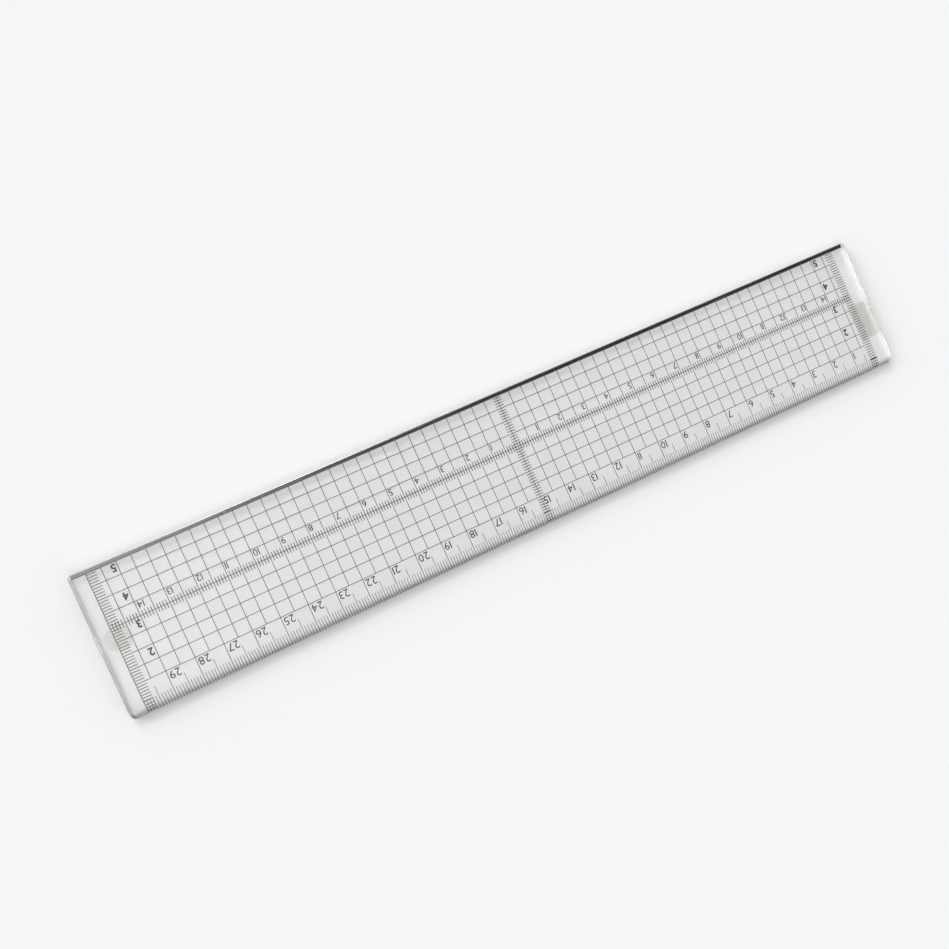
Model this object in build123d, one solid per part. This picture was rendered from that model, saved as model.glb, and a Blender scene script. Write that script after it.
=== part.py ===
from build123d import *
import math
import os

# A 300 mm clear acrylic grid ruler with a stainless cutting edge.  Sizes in millimetres.
# Places on the ruler are given as s, the distance along the scale from its 0 line,
# and d, the distance in from the millimetre edge.
# +X runs with s, +Y points out of the millimetre edge, +Z is up through the reading face.
# The origin is under the middle of the scale, on the plane that the ruler rests on.

# Plate
scale_length = 300.0
zero_margin = 5.4
far_margin = 5.1
total_width = 51.0
total_height = 3.0
bevel_width = 3.8
bevel_edge_height = 1.5
bevel_ridge_radius = 1.6
scale_corner_radius = 1.3
strip_corner_radius = 1.0
moulded_edge_radius = 0.2
gate_stub_length = 0.3
gate_stub_width = 6.0
gate_stub_height = 1.4
gate_stub_place = 26.8

# Steel strip, set in a slot along the other edge and stopped short of both ends
strip_width = 1.5
strip_start = -3.8
strip_end = 303.9
strip_outer_radius = 0.4
strip_edge_break = 0.12
bond_gap = 0.1
bond_recess = 0.1

# Slip pads under the plate, stuck on over the print
pad_height = 0.03
pad_glue_height = 0.01
pad_start = -5.2
pad_end = 2.8
pad_near = 12.2
pad_far = 26.5
pad_corner_radius = 0.8
round_pad_place = (298.8, 26.3)
round_pad_diameter = 9.0

# Print on the underside, as thin films, one for each scale and one for the grid
ink_height = 0.01
spine_line = 0.24
end_tick = 3.2
centre_tick = 1.5
centre_place = 30.0
grid_near = 10.0

underside = pad_height + pad_glue_height + ink_height
slot_near = total_width - strip_width - bond_gap
strip_near = total_width - strip_width
past_the_ends = 10.0


def row_x(s):
    """X of a distance s along the scale."""
    return s - scale_length / 2


def row_y(d):
    """Y of a distance d in from the millimetre edge."""
    return total_width / 2 - d


def block(s0, s1, d0, d1, z0, z1):
    """A box between two places along the scale, two across it and two heights."""
    middle = Pos(row_x((s0 + s1) / 2), row_y((d0 + d1) / 2), (z0 + z1) / 2)
    return middle * Box(s1 - s0, d1 - d0, z1 - z0)


# ---------------------------------------------------------------- plate and strip

def make_plate():
    """Clear plate: bevelled millimetre edge, slot for the strip, trimmed moulding gate."""
    far_end = scale_length + far_margin
    plate = block(-zero_margin, far_end, 0, total_width, underside, total_height)
    slot = block(strip_start - bond_gap, strip_end + bond_gap, slot_near, total_width,
                 underside, total_height)
    plate -= slot
    scale_corners = [e for e in plate.edges().filter_by(Axis.Z)
                     if e.center().Y > total_width / 2 - 0.01]
    plate = fillet(scale_corners, scale_corner_radius)
    end_x = (row_x(-zero_margin), row_x(far_end))
    strip_corners = [e for e in plate.edges().filter_by(Axis.Z)
                     if e.center().Y < 0.01 - total_width / 2
                     and min(abs(e.center().X - x) for x in end_x) < 0.01]
    plate = fillet(strip_corners, strip_corner_radius)
    plate -= make_bevel_cut()
    gate_near = gate_stub_place - gate_stub_width / 2
    gate_far = gate_stub_place + gate_stub_width / 2
    gate_low = (underside + total_height - gate_stub_height) / 2
    plate += block(far_end, far_end + gate_stub_length, gate_near, gate_far,
                   gate_low, gate_low + gate_stub_height)
    end_edges = [e for e in plate.edges().filter_by(Axis.Y)
                 if e.center().Z > total_height - 0.01
                 and min(abs(e.center().X - x) for x in end_x) < 0.01]
    return fillet(end_edges, moulded_edge_radius)


def make_bevel_cut():
    """What the bevel takes off: a wedge whose inner corner is an arc that blends into the top."""
    drop = total_height - bevel_edge_height
    angle = math.atan2(drop, bevel_width)
    blend = bevel_ridge_radius * math.tan(angle / 2)
    edge_y = total_width / 2
    ridge_y = edge_y - bevel_width
    on_top = (ridge_y - blend, total_height)
    on_bevel = (ridge_y + blend * math.cos(angle), total_height - blend * math.sin(angle))
    sag = bevel_ridge_radius * (1 / math.cos(angle / 2) - 1)
    arc_middle = (ridge_y - sag * math.sin(angle / 2), total_height - sag * math.cos(angle / 2))
    outside = edge_y + 1
    outside_low = bevel_edge_height - math.tan(angle)
    outside_high = total_height + 1
    curve = ThreePointArc(on_top, arc_middle, on_bevel)
    rest = Polyline(on_bevel, (outside, outside_low), (outside, outside_high),
                    (on_top[0], outside_high), on_top)
    profile = make_face([curve, rest])
    length = scale_length + 2 * past_the_ends
    start = Plane(origin=(-length / 2, 0, 0), x_dir=(0, 1, 0), z_dir=(1, 0, 0))
    return extrude(start * profile, length)


def make_strip():
    """Stainless strip, from the resting plane to the top face, ground round on its top edge."""
    strip = block(strip_start, strip_end, strip_near, total_width, 0, total_height)
    long_edges = strip.edges().filter_by(Axis.X)
    outer_top = long_edges.sort_by(Axis.Z)[-2:].sort_by(Axis.Y)[:1]
    strip = fillet(outer_top, strip_outer_radius)
    inner_top = strip.edges().filter_by(Axis.X).sort_by(Axis.Y)[-2:].sort_by(Axis.Z)[-1:]
    strip = chamfer(inner_top, strip_edge_break)
    bottom = strip.edges().filter_by(Axis.X).sort_by(Axis.Z)[:2]
    return chamfer(bottom, strip_edge_break)


def make_bond():
    """Glue film round three sides of the strip, a little short of the top face."""
    slot = block(strip_start - bond_gap, strip_end + bond_gap, slot_near, total_width,
                 underside, total_height - bond_recess)
    return slot - block(strip_start, strip_end, strip_near, total_width, 0, total_height)


# ---------------------------------------------------------------- print

def film(s0, s1, d0, d1):
    """One closed film of print against the underside of the plate."""
    return block(s0, s1, d0, d1, underside - ink_height, underside)


def films(spans, bands):
    """The films of one print zone: every span along the scale with every band across it."""
    return Compound(children=[film(*span, *band) for span in spans for band in bands])


def print_zones():
    """The print, cut into the zones of its scales and its grid so that none overlap."""
    middle = scale_length / 2
    left_span = (end_tick, middle - centre_tick)
    right_span = (middle + centre_tick, scale_length - end_tick)
    both_spans = [left_span, right_span]
    full_band = (0, slot_near)
    centre_band = (centre_place - centre_tick, centre_place + centre_tick)
    grid_bands = [(grid_near, centre_band[0]), (centre_band[1], slot_near)]
    far_edge = scale_length + spine_line / 2
    return {
        "zero_end_scale_print": films([(0, end_tick)], [full_band]),
        "far_end_scale_print": films([(right_span[1], far_edge)], [full_band]),
        "middle_scale_print": films([(left_span[1], right_span[0])], [full_band]),
        "edge_scale_print": films(both_spans, [(0, grid_near)]),
        "centre_line_scale_print": films(both_spans, [centre_band]),
        "grid_print": films(both_spans, grid_bands),
    }


# ---------------------------------------------------------------- slip pads

def make_rectangular_pad(z0, height):
    """A layer of the pad at the zero end, from the plate's end to under the end scale."""
    outline = RectangleRounded(pad_end - pad_start, pad_far - pad_near, pad_corner_radius)
    place = Pos(row_x((pad_start + pad_end) / 2), row_y((pad_near + pad_far) / 2), z0)
    return extrude(place * outline, height)


def make_round_pad(z0, height):
    """A layer of the round pad at the far end."""
    s, d = round_pad_place
    place = Pos(row_x(s), row_y(d), z0)
    return extrude(place * Circle(round_pad_diameter / 2), height)


# ---------------------------------------------------------------- write every piece

os.makedirs("parts", exist_ok=True)

parts = {
    "acrylic_plate": make_plate(),
    "steel_edge_strip": make_strip(),
    "strip_bond_line": make_bond(),
    "rectangular_slip_pad": make_rectangular_pad(0, pad_height),
    "rectangular_pad_glue": make_rectangular_pad(pad_height, pad_glue_height),
    "round_slip_pad": make_round_pad(0, pad_height),
    "round_pad_glue": make_round_pad(pad_height, pad_glue_height),
}
parts.update(print_zones())

for name, part in parts.items():
    export_step(part, os.path.join("parts", name + ".step"))
    print(name, len(part.solids()), round(part.volume, 4))
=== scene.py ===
import math

import bmesh
import bpy
from mathutils import Matrix, Vector


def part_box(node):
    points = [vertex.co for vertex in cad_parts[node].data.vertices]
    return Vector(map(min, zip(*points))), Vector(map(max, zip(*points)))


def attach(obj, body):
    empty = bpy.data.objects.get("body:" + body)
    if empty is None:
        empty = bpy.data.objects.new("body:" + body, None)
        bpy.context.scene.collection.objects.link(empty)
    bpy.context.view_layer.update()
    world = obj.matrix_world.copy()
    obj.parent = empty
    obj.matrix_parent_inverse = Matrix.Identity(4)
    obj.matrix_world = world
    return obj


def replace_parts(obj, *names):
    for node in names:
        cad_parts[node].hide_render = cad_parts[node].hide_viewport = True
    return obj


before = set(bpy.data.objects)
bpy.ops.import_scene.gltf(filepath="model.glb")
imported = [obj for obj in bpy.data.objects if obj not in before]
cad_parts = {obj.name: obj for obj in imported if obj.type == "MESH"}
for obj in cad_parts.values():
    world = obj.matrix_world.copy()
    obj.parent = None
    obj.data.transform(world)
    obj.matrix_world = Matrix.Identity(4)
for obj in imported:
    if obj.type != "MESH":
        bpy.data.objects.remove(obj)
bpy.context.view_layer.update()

# A clear acrylic grid ruler with a steel cutting edge, lying face up on a pale floor.
# Lengths in metres.  On the ruler, s is the distance along the scale from its 0 line and d
# the distance in from the millimetre edge, both in millimetres, as they are printed.
MM = 0.001
BODY = "root"
SCALE_LENGTH = 300
CENTIMETRE = 10
HALF_CENTIMETRE = 5

plate_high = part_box("acrylic_plate")[1]
zero_low, zero_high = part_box("zero_end_scale_print")
centre_low, centre_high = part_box("centre_line_scale_print")
grid_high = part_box("grid_print")[1]
strip_low, strip_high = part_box("steel_edge_strip")
pad_low, pad_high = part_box("rectangular_slip_pad")
round_low, round_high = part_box("round_slip_pad")
bond_low, bond_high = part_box("strip_bond_line")

# Places of the print, from the frame
ZERO_X = zero_low.x
EDGE_Y = plate_high.y
PRINT_REACH = (EDGE_Y - zero_low.y) / MM
END_TICK = (zero_high.x - zero_low.x) / MM
CENTRE_TICK = (centre_high.y - centre_low.y) / MM / 2
CENTRE_PLACE = (EDGE_Y - (centre_high.y + centre_low.y) / 2) / MM
GRID_START = (EDGE_Y - grid_high.y) / MM

# Pieces made here stand this far clear of the faces beside them, because coincident faces
# under the clear plate render black.
CLEARANCE = 0.001 * MM
INK_THICKNESS = 0.008 * MM
INK_HIGH = zero_high.z - CLEARANCE
INK_LOW = INK_HIGH - INK_THICKNESS

# Widths of the printed lines, in millimetres
EDGE_TICK_LINE = 0.16
TICK_LINE = 0.23
GRID_LINE = 0.2
CENTRE_LINE = 0.19
MIDDLE_LINE = 0.14
SPINE_LINE = 0.22
RIDGE_LINE = 0.30

# Lengths of the millimetre edge's ticks, and the place of the bold tick under the bevel's ridge
MINOR_TICK = 4.0
HALF_TICK = 7.0
RIDGE_TICK = 4

# Numerals, in millimetres: height, gap beside the line they belong to, and where they stand
EDGE_NUMBER_HEIGHT = 2.75
EDGE_NUMBER_FOOT = 9.45
END_NUMBER_HEIGHT = 2.75
END_NUMBER_RISE = 0.85
CENTRE_NUMBER_HEIGHT = 2.3
CENTRE_NUMBER_DROP = 4.65
NUMBER_GAP = 0.6
CENTRE_NUMBER_GAP = 0.5

# The space between digits, in units of their height
DIGIT_GAP = 0.14

# How far the outlines of the bold end numerals are pushed out, in units of the typeface's size
END_NUMBER_WEIGHT = 0.025

# The rectangular pad's corners, and the rounding of a pad's lower edge as a part of its thickness
PAD_CORNER = 0.8 * MM
PAD_EDGE_ROUNDING = 0.4


def row_x(s):
    return ZERO_X + s * MM


def row_y(d):
    return EDGE_Y - d * MM


# ---------------------------------------------------------------- camera, floor and light

def make_camera():
    """The photograph's view: from above, with the ruler turned so that its 0 is at the right."""
    place = Vector((0.0726, -0.0059, 0.2745))
    forward = Vector((-0.1925, 0.0154, -0.9812)).normalized()
    up_heading = math.radians(245.45)
    hint = Vector((math.cos(up_heading), math.sin(up_heading), 0))
    up = (hint - forward * hint.dot(forward)).normalized()
    right = forward.cross(up)
    data = bpy.data.cameras.new("camera")
    data.sensor_width = 36
    data.lens = 29.57
    data.clip_start = 0.01
    camera = bpy.data.objects.new("camera", data)
    turn = Matrix((right, up, -forward)).transposed().to_4x4()
    camera.matrix_world = Matrix.Translation(place) @ turn
    bpy.context.scene.collection.objects.link(camera)
    bpy.context.scene.camera = camera


def make_floor():
    """A pale floor, a hair below the pads so that it doesn't coincide with their undersides."""
    half = 3.0
    mesh = bpy.data.meshes.new("floor")
    drop = -2 * CLEARANCE
    mesh.from_pydata([(-half, -half, drop), (half, -half, drop), (half, half, drop),
                      (-half, half, drop)], [], [(0, 1, 2, 3)])
    floor = bpy.data.objects.new("floor", mesh)
    bpy.context.scene.collection.objects.link(floor)
    material = bpy.data.materials.new("floor")
    material.use_nodes = True
    shader = material.node_tree.nodes["Principled BSDF"]
    shader.inputs["Base Color"].default_value = (0.9, 0.9, 0.9, 1)
    shader.inputs["Roughness"].default_value = 1.0
    shader.inputs["Specular IOR Level"].default_value = 0.0
    mesh.materials.append(material)


def make_sky():
    """A pale room, darker overhead, with two low soft lamps.

    One is beyond the steel edge and the other beyond that edge's 30 cm corner.
    """
    world = bpy.data.worlds.new("room")
    bpy.context.scene.world = world
    world.use_nodes = True
    tree = world.node_tree
    background = tree.nodes["Background"]
    direction = tree.nodes.new("ShaderNodeTexCoord").outputs["Generated"]

    def patch(towards, inner_degrees, outer_degrees):
        """1 within the inner angle of a direction, fading to 0 at the outer angle."""
        dot = tree.nodes.new("ShaderNodeVectorMath")
        dot.operation = "DOT_PRODUCT"
        tree.links.new(direction, dot.inputs[0])
        dot.inputs[1].default_value = Vector(towards).normalized()
        fade = tree.nodes.new("ShaderNodeMapRange")
        fade.interpolation_type = "SMOOTHSTEP"
        fade.inputs["From Min"].default_value = math.cos(math.radians(outer_degrees))
        fade.inputs["From Max"].default_value = math.cos(math.radians(inner_degrees))
        tree.links.new(dot.outputs["Value"], fade.inputs["Value"])
        return fade.outputs["Result"]

    def blend(factor, first, second):
        """The first colour where the factor is 0, the second where it is 1."""
        mix = tree.nodes.new("ShaderNodeMix")
        mix.data_type = "RGBA"
        tree.links.new(factor, mix.inputs["Factor"])
        for socket, value in ((mix.inputs["A"], first), (mix.inputs["B"], second)):
            if isinstance(value, bpy.types.NodeSocket):
                tree.links.new(value, socket)
            else:
                socket.default_value = value
        return mix.outputs["Result"]

    even = (1.0, 1.0, 1.0, 1)
    overhead = (0.08, 0.08, 0.08, 1)
    first_lamp = (15.0, 15.0, 15.0, 1)
    second_lamp = (11.0, 11.0, 11.0, 1)
    room = blend(patch((-0.5, -0.1, 0.85), 17, 48), even, overhead)
    lit = blend(patch((0.05, -0.95, 0.32), 2, 16), room, first_lamp)
    sky = blend(patch((0.68, -0.68, 0.27), 2, 16), lit, second_lamp)
    tree.links.new(sky, background.inputs["Color"])
    background.inputs["Strength"].default_value = 1.015


# ---------------------------------------------------------------- materials

def new_material(name):
    material = bpy.data.materials.new(name)
    material.use_nodes = True
    shader = material.node_tree.nodes["Principled BSDF"]
    return material, material.node_tree, shader


def place_texture(tree, scale):
    """The surface's own place in metres, stretched by scale, for a texture to read."""
    coordinates = tree.nodes.new("ShaderNodeTexCoord")
    mapping = tree.nodes.new("ShaderNodeMapping")
    mapping.inputs["Scale"].default_value = scale
    tree.links.new(coordinates.outputs["Object"], mapping.inputs["Vector"])
    return mapping.outputs["Vector"]


def noise(tree, scale, detail=4.0, roughness=0.5, stretch=(1, 1, 1)):
    node = tree.nodes.new("ShaderNodeTexNoise")
    node.inputs["Scale"].default_value = scale
    node.inputs["Detail"].default_value = detail
    node.inputs["Roughness"].default_value = roughness
    tree.links.new(place_texture(tree, stretch), node.inputs["Vector"])
    return node.outputs["Fac"]


def remap(tree, value, from_min, from_max, to_min, to_max):
    node = tree.nodes.new("ShaderNodeMapRange")
    node.inputs["From Min"].default_value = from_min
    node.inputs["From Max"].default_value = from_max
    node.inputs["To Min"].default_value = to_min
    node.inputs["To Max"].default_value = to_max
    tree.links.new(value, node.inputs["Value"])
    return node.outputs["Result"]


def combine(tree, operation, first, second):
    node = tree.nodes.new("ShaderNodeMath")
    node.operation = operation
    for socket, value in zip(node.inputs, (first, second)):
        if isinstance(value, bpy.types.NodeSocket):
            tree.links.new(value, socket)
        else:
            socket.default_value = value
    return node.outputs["Value"]


def colour_ramp(tree, value, stops):
    node = tree.nodes.new("ShaderNodeValToRGB")
    ramp = node.color_ramp
    while len(ramp.elements) < len(stops):
        ramp.elements.new(0.5)
    for element, (position, colour) in zip(ramp.elements, stops):
        element.position = position
        element.color = (*colour, 1)
    tree.links.new(value, node.inputs["Fac"])
    return node.outputs["Color"]


def bump(tree, shader, height, strength, distance):
    node = tree.nodes.new("ShaderNodeBump")
    node.inputs["Strength"].default_value = strength
    node.inputs["Distance"].default_value = distance
    tree.links.new(height, node.inputs["Height"])
    tree.links.new(node.outputs["Normal"], shader.inputs["Normal"])


def acrylic_material():
    """Clear moulded acrylic: handling marks in the gloss, fine scratches, a faint ripple."""
    material, tree, shader = new_material("clear_acrylic")
    shader.inputs["Base Color"].default_value = (0.992, 0.988, 0.990, 1)
    shader.inputs["Transmission Weight"].default_value = 1.0
    shader.inputs["IOR"].default_value = 1.49
    smudges = remap(tree, noise(tree, 45, 5, 0.6), 0.5, 0.75, 0.0, 0.05)
    scratches = remap(tree, noise(tree, 500, 2, 0.5, (0.12, 1, 1)), 0.66, 0.72, 0.0, 0.05)
    gloss = combine(tree, "ADD", smudges, scratches)
    tree.links.new(combine(tree, "ADD", gloss, 0.012), shader.inputs["Roughness"])
    ripple = noise(tree, 25, 2, 0.4)
    bump(tree, shader, ripple, 0.05, 0.0004)
    return material


def steel_material():
    """Stainless strip ground along its length, with fine nicks from knife blades."""
    material, tree, shader = new_material("ground_stainless")
    shader.inputs["Metallic"].default_value = 1.0
    shader.inputs["Anisotropic"].default_value = 0.4
    grain = noise(tree, 2500, 3, 0.6, (0.012, 1, 1))
    cloud = noise(tree, 60, 3, 0.5)
    nicks = remap(tree, noise(tree, 1400, 2, 0.5, (1, 0.3, 0.3)), 0.70, 0.76, 0.0, 1.0)
    tone = combine(tree, "ADD", combine(tree, "MULTIPLY", grain, 0.7),
                   combine(tree, "MULTIPLY", cloud, 0.3))
    colour = colour_ramp(tree, tone, [(0.3, (0.24, 0.237, 0.233)), (0.5, (0.31, 0.306, 0.302)),
                                      (0.7, (0.38, 0.375, 0.37))])
    tree.links.new(colour, shader.inputs["Base Color"])
    rough = remap(tree, grain, 0.3, 0.7, 0.16, 0.30)
    tree.links.new(combine(tree, "ADD", rough, combine(tree, "MULTIPLY", nicks, 0.2)),
                   shader.inputs["Roughness"])
    height = combine(tree, "SUBTRACT", grain, combine(tree, "MULTIPLY", nicks, 0.6))
    bump(tree, shader, height, 0.25, 0.00002)
    return material


def ink_material():
    """Dark brown-black screen print, slightly uneven in density."""
    material, tree, shader = new_material("printed_ink")
    density = noise(tree, 900, 3, 0.6)
    colour = colour_ramp(tree, density, [(0.3, (0.020, 0.013, 0.012)),
                                         (0.7, (0.050, 0.036, 0.033))])
    tree.links.new(colour, shader.inputs["Base Color"])
    tree.links.new(remap(tree, density, 0.3, 0.7, 0.45, 0.7), shader.inputs["Roughness"])
    return material


def glue_material(name, dark, light, see_through):
    """A thin cured glue film with small bubbles and uneven spread."""
    material, tree, shader = new_material(name)
    spread = noise(tree, 700, 4, 0.6)
    tree.links.new(colour_ramp(tree, spread, [(0.3, dark), (0.7, light)]),
                   shader.inputs["Base Color"])
    tree.links.new(remap(tree, spread, 0.3, 0.7, 0.05, 0.2), shader.inputs["Roughness"])
    shader.inputs["Transmission Weight"].default_value = see_through
    shader.inputs["IOR"].default_value = 1.46
    bump(tree, shader, spread, 0.2, 0.00002)
    return material


def pad_material(name, dark, light):
    """Soft slip pad with a fine matt grain."""
    material, tree, shader = new_material(name)
    grain = noise(tree, 1800, 4, 0.65)
    cloud = noise(tree, 180, 3, 0.5)
    tone = combine(tree, "ADD", combine(tree, "MULTIPLY", grain, 0.4),
                   combine(tree, "MULTIPLY", cloud, 0.6))
    tree.links.new(colour_ramp(tree, tone, [(0.35, dark), (0.65, light)]),
                   shader.inputs["Base Color"])
    tree.links.new(remap(tree, grain, 0.3, 0.7, 0.55, 0.8), shader.inputs["Roughness"])
    bump(tree, shader, grain, 0.15, 0.00002)
    return material


def dress(node, material):
    """Gives a CAD node's material slots the finished material."""
    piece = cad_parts[node]
    if not piece.material_slots:
        piece.data.materials.append(material)
    for slot in piece.material_slots:
        slot.material = material


# ---------------------------------------------------------------- print

def uncovered(d0, d1, cuts):
    """The stretches of d0 to d1 that no cut (low, high) covers."""
    stretches = [(d0, d1)]
    for low, high in cuts:
        left = []
        for a, b in stretches:
            if high <= a or low >= b:
                left.append((a, b))
                continue
            if low > a:
                left.append((a, low))
            if high < b:
                left.append((high, b))
        stretches = left
    return stretches


def lattice(across, along, passing=()):
    """Rectangles (s0, s1, d0, d1) for crossing lines, none of which overlap.

    across holds (s, d0, d1, width) and along holds (d, s0, s1, width).  A line along the
    ruler runs through, and a line across it is broken there and at the passing lines.
    """
    shapes = [(s0, s1, d - width / 2, d + width / 2) for d, s0, s1, width in along]
    for s, d0, d1, width in across:
        cuts = [(d - w / 2, d + w / 2) for d, s0, s1, w in [*along, *passing]
                if s0 <= s + width / 2 and s1 >= s - width / 2]
        for low, high in uncovered(d0, d1, cuts):
            shapes.append((s - width / 2, s + width / 2, low, high))
    return shapes


def add_piece(name, vertices, faces, material):
    """A closed piece in the shared frame that rides on the ruler."""
    mesh = bpy.data.meshes.new(name)
    mesh.from_pydata(vertices, [], faces)
    mesh.validate()
    mesh.materials.append(material)
    piece = bpy.data.objects.new(name, mesh)
    bpy.context.scene.collection.objects.link(piece)
    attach(piece, BODY)
    return piece


BOX_FACES = [(0, 3, 2, 1), (4, 5, 6, 7), (0, 1, 5, 4), (1, 2, 6, 5), (2, 3, 7, 6), (3, 0, 4, 7)]


def box_corners(x0, x1, y0, y1, z0, z1):
    """The eight corners of a box, in the order that BOX_FACES reads them."""
    return [(x, y, z) for z in (z0, z1) for x, y in ((x0, y0), (x1, y0), (x1, y1), (x0, y1))]


def print_lines(name, shapes, ink, node):
    """Thin films of ink with the shapes' outlines, in place of the zone's plain film."""
    vertices = []
    faces = []
    for s0, s1, d0, d1 in shapes:
        first = len(vertices)
        vertices += box_corners(row_x(s0), row_x(s1), row_y(d1), row_y(d0), INK_LOW, INK_HIGH)
        faces += [tuple(first + corner for corner in face) for face in BOX_FACES]
    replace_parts(add_piece(name, vertices, faces, ink), node)


def edge_tick(s):
    """The length of the millimetre edge's tick at s."""
    if s % HALF_CENTIMETRE == 0:
        return HALF_TICK
    return MINOR_TICK


def centre_ticks(places):
    """Short ticks across the centre line."""
    low = CENTRE_PLACE - CENTRE_TICK
    high = CENTRE_PLACE + CENTRE_TICK
    return [(s, low, high, TICK_LINE) for s in places]


def ticks_along(s0, s1, bold=()):
    """A tick for every millimetre across the ruler, a few of them bolder than the rest."""
    last = math.floor(PRINT_REACH)
    return [(d, s0, s1, RIDGE_LINE if d in bold else TICK_LINE) for d in range(1, last + 1)]


def make_print(ink):
    middle = SCALE_LENGTH / 2
    far_start = SCALE_LENGTH - END_TICK
    near_zero = range(1, math.ceil(END_TICK))
    near_far = [SCALE_LENGTH - s for s in near_zero]
    near_middle = [middle - 1, middle + 1]
    centre_along = round(CENTRE_PLACE, 3)

    def edge_ticks(places):
        return [(s, 0, edge_tick(s), EDGE_TICK_LINE) for s in places]

    print_lines("zero_end_scale_ink",
                lattice(edge_ticks(near_zero) + centre_ticks(near_zero),
                        ticks_along(0, END_TICK, bold=(RIDGE_TICK,))),
                ink, "zero_end_scale_print")

    spine = [(SCALE_LENGTH, 0, PRINT_REACH, SPINE_LINE)]
    print_lines("far_end_scale_ink",
                lattice(edge_ticks(near_far) + centre_ticks(near_far) + spine,
                        ticks_along(far_start, SCALE_LENGTH + SPINE_LINE / 2)),
                ink, "far_end_scale_print")

    middle_line = [(middle, 0, PRINT_REACH, MIDDLE_LINE)]
    middle_ticks = ticks_along(middle - CENTRE_TICK, middle + CENTRE_TICK, bold=(RIDGE_TICK,))
    print_lines("middle_scale_ink",
                lattice(edge_ticks(near_middle) + centre_ticks(near_middle) + middle_line,
                        middle_ticks),
                ink, "middle_scale_print")

    spans = [(END_TICK, middle - CENTRE_TICK), (middle + CENTRE_TICK, far_start)]
    between = [s for s in range(1, SCALE_LENGTH)
               if any(low < s < high for low, high in spans)]
    print_lines("edge_scale_ink",
                lattice(edge_ticks(s for s in between if s % CENTIMETRE), []),
                ink, "edge_scale_print")

    centre_lines = [(centre_along, low, high, CENTRE_LINE) for low, high in spans]
    print_lines("centre_line_scale_ink",
                lattice(centre_ticks(s for s in between if s % HALF_CENTIMETRE), centre_lines),
                ink, "centre_line_scale_print")

    rows = [d for d in range(round(GRID_START), math.ceil(PRINT_REACH), HALF_CENTIMETRE)
            if d != centre_along]
    grid_along = [(d, low, high, GRID_LINE) for d in rows for low, high in spans]
    grid_across = [(s, 0 if s % CENTIMETRE == 0 else GRID_START, PRINT_REACH, GRID_LINE)
                   for s in between if s % HALF_CENTIMETRE == 0]
    print_lines("grid_ink", lattice(grid_across, grid_along, centre_lines), ink, "grid_print")


# ---------------------------------------------------------------- numerals

def close_seams(mesh):
    """Joins the front, back and sides of an extruded numeral into one closed skin."""
    skin = bmesh.new()
    skin.from_mesh(mesh)
    bmesh.ops.remove_doubles(skin, verts=skin.verts, dist=0.0001)
    skin.to_mesh(mesh)
    skin.free()


def digit_shapes(weight=0.0):
    """Each numeral of the built-in typeface, its strokes widened by a rim of the given weight.

    A numeral is (points, faces, width), one unit high.
    """
    shapes = {}
    for digit in "0123456789":
        curve = bpy.data.curves.new("digit", "FONT")
        curve.body = digit
        curve.size = 1.0
        curve.resolution_u = 3
        curve.extrude = 0.1
        curve.bevel_resolution = 0
        curve.bevel_depth = weight
        text = bpy.data.objects.new("digit", curve)
        bpy.context.scene.collection.objects.link(text)
        bpy.context.view_layer.update()
        mesh = bpy.data.meshes.new_from_object(text)
        close_seams(mesh)
        points = [v.co.copy() for v in mesh.vertices]
        faces = [tuple(face.vertices) for face in mesh.polygons]
        left = min(p.x for p in points)
        low = min(p.y for p in points)
        height = max(p.y for p in points) - low
        flat = [((p.x - left) / height, (p.y - low) / height, p.z > 0) for p in points]
        shapes[digit] = (flat, faces, max(p[0] for p in flat))
        bpy.data.objects.remove(text)
        bpy.data.curves.remove(curve)
        bpy.data.meshes.remove(mesh)
    return shapes


def print_numbers(name, shapes, height, numbers, ink):
    """Numbers (value, s, foot, side): side says which side of the number is at s.

    The foot is the place d of the numerals' baseline, and the numerals stand towards d = 0.
    """
    vertices = []
    faces = []
    for value, s, foot, side in numbers:
        digits = [shapes[digit] for digit in str(value)]
        width = sum(digit[2] for digit in digits) + DIGIT_GAP * (len(digits) - 1)
        start = s - width * height if side == "right" else s
        for points, shape_faces, digit_width in digits:
            first = len(vertices)
            vertices += [(row_x(start + x * height), row_y(foot - y * height),
                          INK_HIGH if top else INK_LOW) for x, y, top in points]
            faces += [tuple(first + corner for corner in face) for face in shape_faces]
            start += (digit_width + DIGIT_GAP) * height
    add_piece(name, vertices, faces, ink)


def make_numbers(ink):
    middle = SCALE_LENGTH / 2
    shapes = digit_shapes()
    bold_shapes = digit_shapes(END_NUMBER_WEIGHT)
    edge = [(cm, cm * CENTIMETRE - NUMBER_GAP, EDGE_NUMBER_FOOT, "right")
            for cm in range(1, SCALE_LENGTH // CENTIMETRE)]
    ends = []
    for cm in range(2, 6):
        foot = cm * CENTIMETRE - END_NUMBER_RISE
        ends.append((cm, CENTIMETRE - NUMBER_GAP, foot, "right"))
        ends.append((cm, SCALE_LENGTH - CENTIMETRE + NUMBER_GAP, foot, "left"))
    outward = []
    centre_foot = CENTRE_PLACE + CENTRE_NUMBER_DROP
    for cm in range(1, 15):
        outward.append((cm, middle - cm * CENTIMETRE + CENTRE_NUMBER_GAP, centre_foot, "left"))
        outward.append((cm, middle + cm * CENTIMETRE - CENTRE_NUMBER_GAP, centre_foot, "right"))
    print_numbers("edge_numbers_ink", shapes, EDGE_NUMBER_HEIGHT, edge, ink)
    print_numbers("end_numbers_ink", bold_shapes, END_NUMBER_HEIGHT, ends, ink)
    print_numbers("centre_numbers_ink", shapes, CENTRE_NUMBER_HEIGHT, outward, ink)


# ---------------------------------------------------------------- pads and glue

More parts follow.
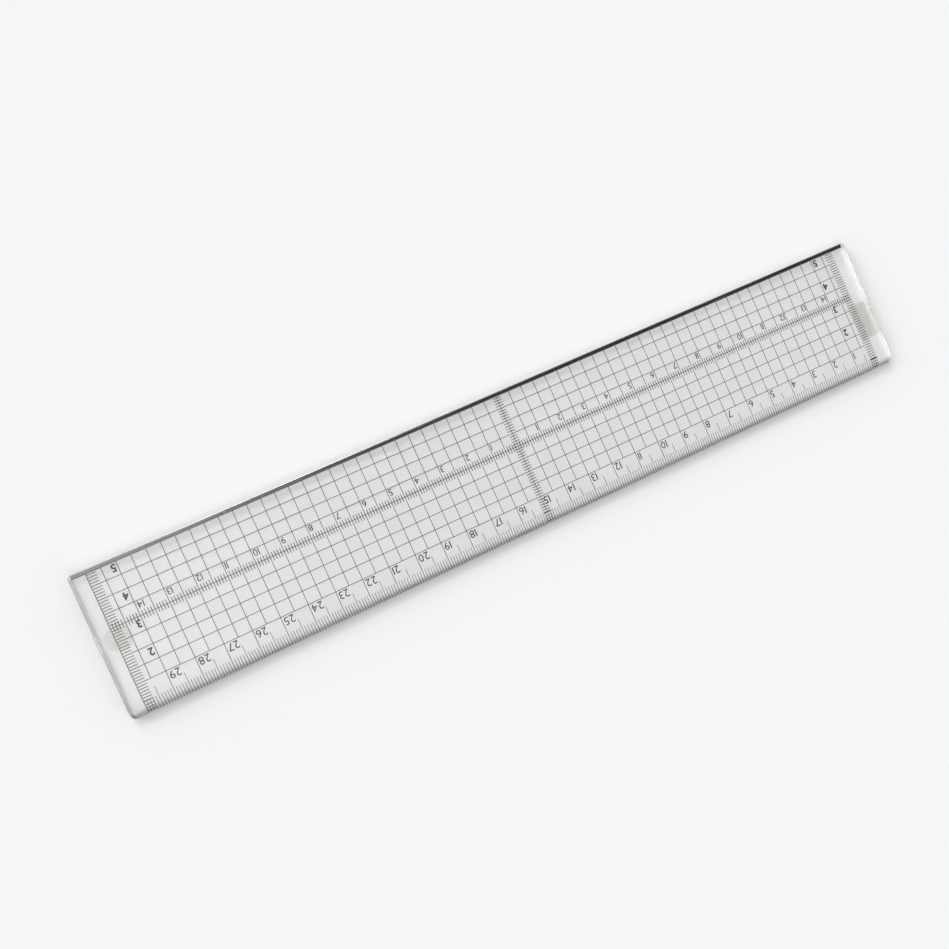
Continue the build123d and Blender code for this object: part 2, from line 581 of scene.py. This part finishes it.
def layered(outline, z0, z1, rounding):
    """A flat piece from z0 up to z1, its lower edge rounded off where rounding isn't 0.

    outline gives the points of its outline for how far they are drawn in.
    """
    if rounding:
        steps = [math.radians(angle) for angle in (0, 30, 60, 90)]
        rings = [(rounding * (1 - math.sin(a)), z0 + rounding * (1 - math.cos(a))) for a in steps]
    else:
        rings = [(0, z0)]
    rings.append((0, z1))
    vertices = []
    for inset, z in rings:
        vertices += [(x, y, z) for x, y in outline(inset)]
    count = len(vertices) // len(rings)
    faces = [tuple(reversed(range(count))),
             tuple(range(count * (len(rings) - 1), count * len(rings)))]
    for ring in range(len(rings) - 1):
        for corner in range(count):
            after = (corner + 1) % count
            low = ring * count
            high = low + count
            faces.append((low + corner, low + after, high + after, high + corner))
    return vertices, faces


def rounded_rectangle(low, high, radius):
    """The outline of a rounded rectangle, as a function of how far it is drawn in."""
    def outline(inset):
        points = []
        corners = ((high.x, high.y, 0), (low.x, high.y, 90),
                   (low.x, low.y, 180), (high.x, low.y, 270))
        for x, y, start in corners:
            side_x = 1 if x == high.x else -1
            side_y = 1 if y == high.y else -1
            for step in range(7):
                a = math.radians(start + step * 15)
                points.append((x - side_x * radius + (radius - inset) * math.cos(a),
                               y - side_y * radius + (radius - inset) * math.sin(a)))
        return points
    return outline


def circle(low, high):
    """The outline of a circle, as a function of how far it is drawn in."""
    centre = (low + high) / 2
    radius = (high.x - low.x) / 2

    def outline(inset):
        angles = [math.radians(step * 3.75) for step in range(96)]
        return [(centre.x + (radius - inset) * math.cos(a),
                 centre.y + (radius - inset) * math.sin(a)) for a in angles]
    return outline


def make_pad(name, outline, pad, glue):
    """A slip pad and its glue in place of their plain CAD solids, parted by a hair."""
    low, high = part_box(name)
    glue_node, glue_finish = glue
    glue_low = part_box(glue_node)[0]
    rounding = PAD_EDGE_ROUNDING * (high.z - low.z)
    vertices, faces = layered(outline, low.z, high.z - CLEARANCE, rounding)
    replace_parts(add_piece(name + "_film", vertices, faces, pad), name)
    vertices, faces = layered(outline, glue_low.z + CLEARANCE, INK_LOW - CLEARANCE, 0)
    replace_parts(add_piece(glue_node + "_film", vertices, faces, glue_finish),
                glue_node)


def make_bond(material):
    """The glue along the strip and at its two ends, a hair clear of the strip and the slot."""
    far_y = strip_high.y + CLEARANCE
    end_y = strip_high.y - CLEARANCE
    near_y = bond_high.y - CLEARANCE
    low = bond_low.z + CLEARANCE
    high = bond_high.z
    vertices = []
    faces = []
    pieces = ((bond_low.x + CLEARANCE, bond_high.x - CLEARANCE, far_y, near_y),
              (bond_low.x + CLEARANCE, strip_low.x - CLEARANCE, bond_low.y, end_y),
              (strip_high.x + CLEARANCE, bond_high.x - CLEARANCE, bond_low.y, end_y))
    for x0, x1, y0, y1 in pieces:
        first = len(vertices)
        vertices += box_corners(x0, x1, y0, y1, low, high)
        faces += [tuple(first + corner for corner in face) for face in BOX_FACES]
    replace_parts(add_piece("strip_bond_film", vertices, faces, material),
                "strip_bond_line")


# ---------------------------------------------------------------- put together

bpy.context.scene.view_settings.view_transform = "Standard"
# Light that has touched the floor passes the plate unblurred, so that none of it is lost.
bpy.context.scene.cycles.blur_glossy = 0.0
make_camera()
make_floor()
make_sky()

ink = ink_material()
pad_glue = glue_material("pad_glue", (0.97, 0.97, 0.96), (1.0, 1.0, 0.99), 1.0)
dress("acrylic_plate", acrylic_material())
dress("steel_edge_strip", steel_material())
make_bond(glue_material("strip_glue", (0.20, 0.198, 0.195), (0.34, 0.337, 0.33), 0.3))
make_pad("rectangular_slip_pad", rounded_rectangle(pad_low, pad_high, PAD_CORNER),
         pad_material("grey_pad", (0.89, 0.88, 0.848), (0.92, 0.91, 0.878)),
         ("rectangular_pad_glue", pad_glue))
make_pad("round_slip_pad", circle(round_low, round_high),
         pad_material("clear_pad", (0.86, 0.86, 0.832), (0.89, 0.89, 0.862)),
         ("round_pad_glue", pad_glue))
make_print(ink)
make_numbers(ink)
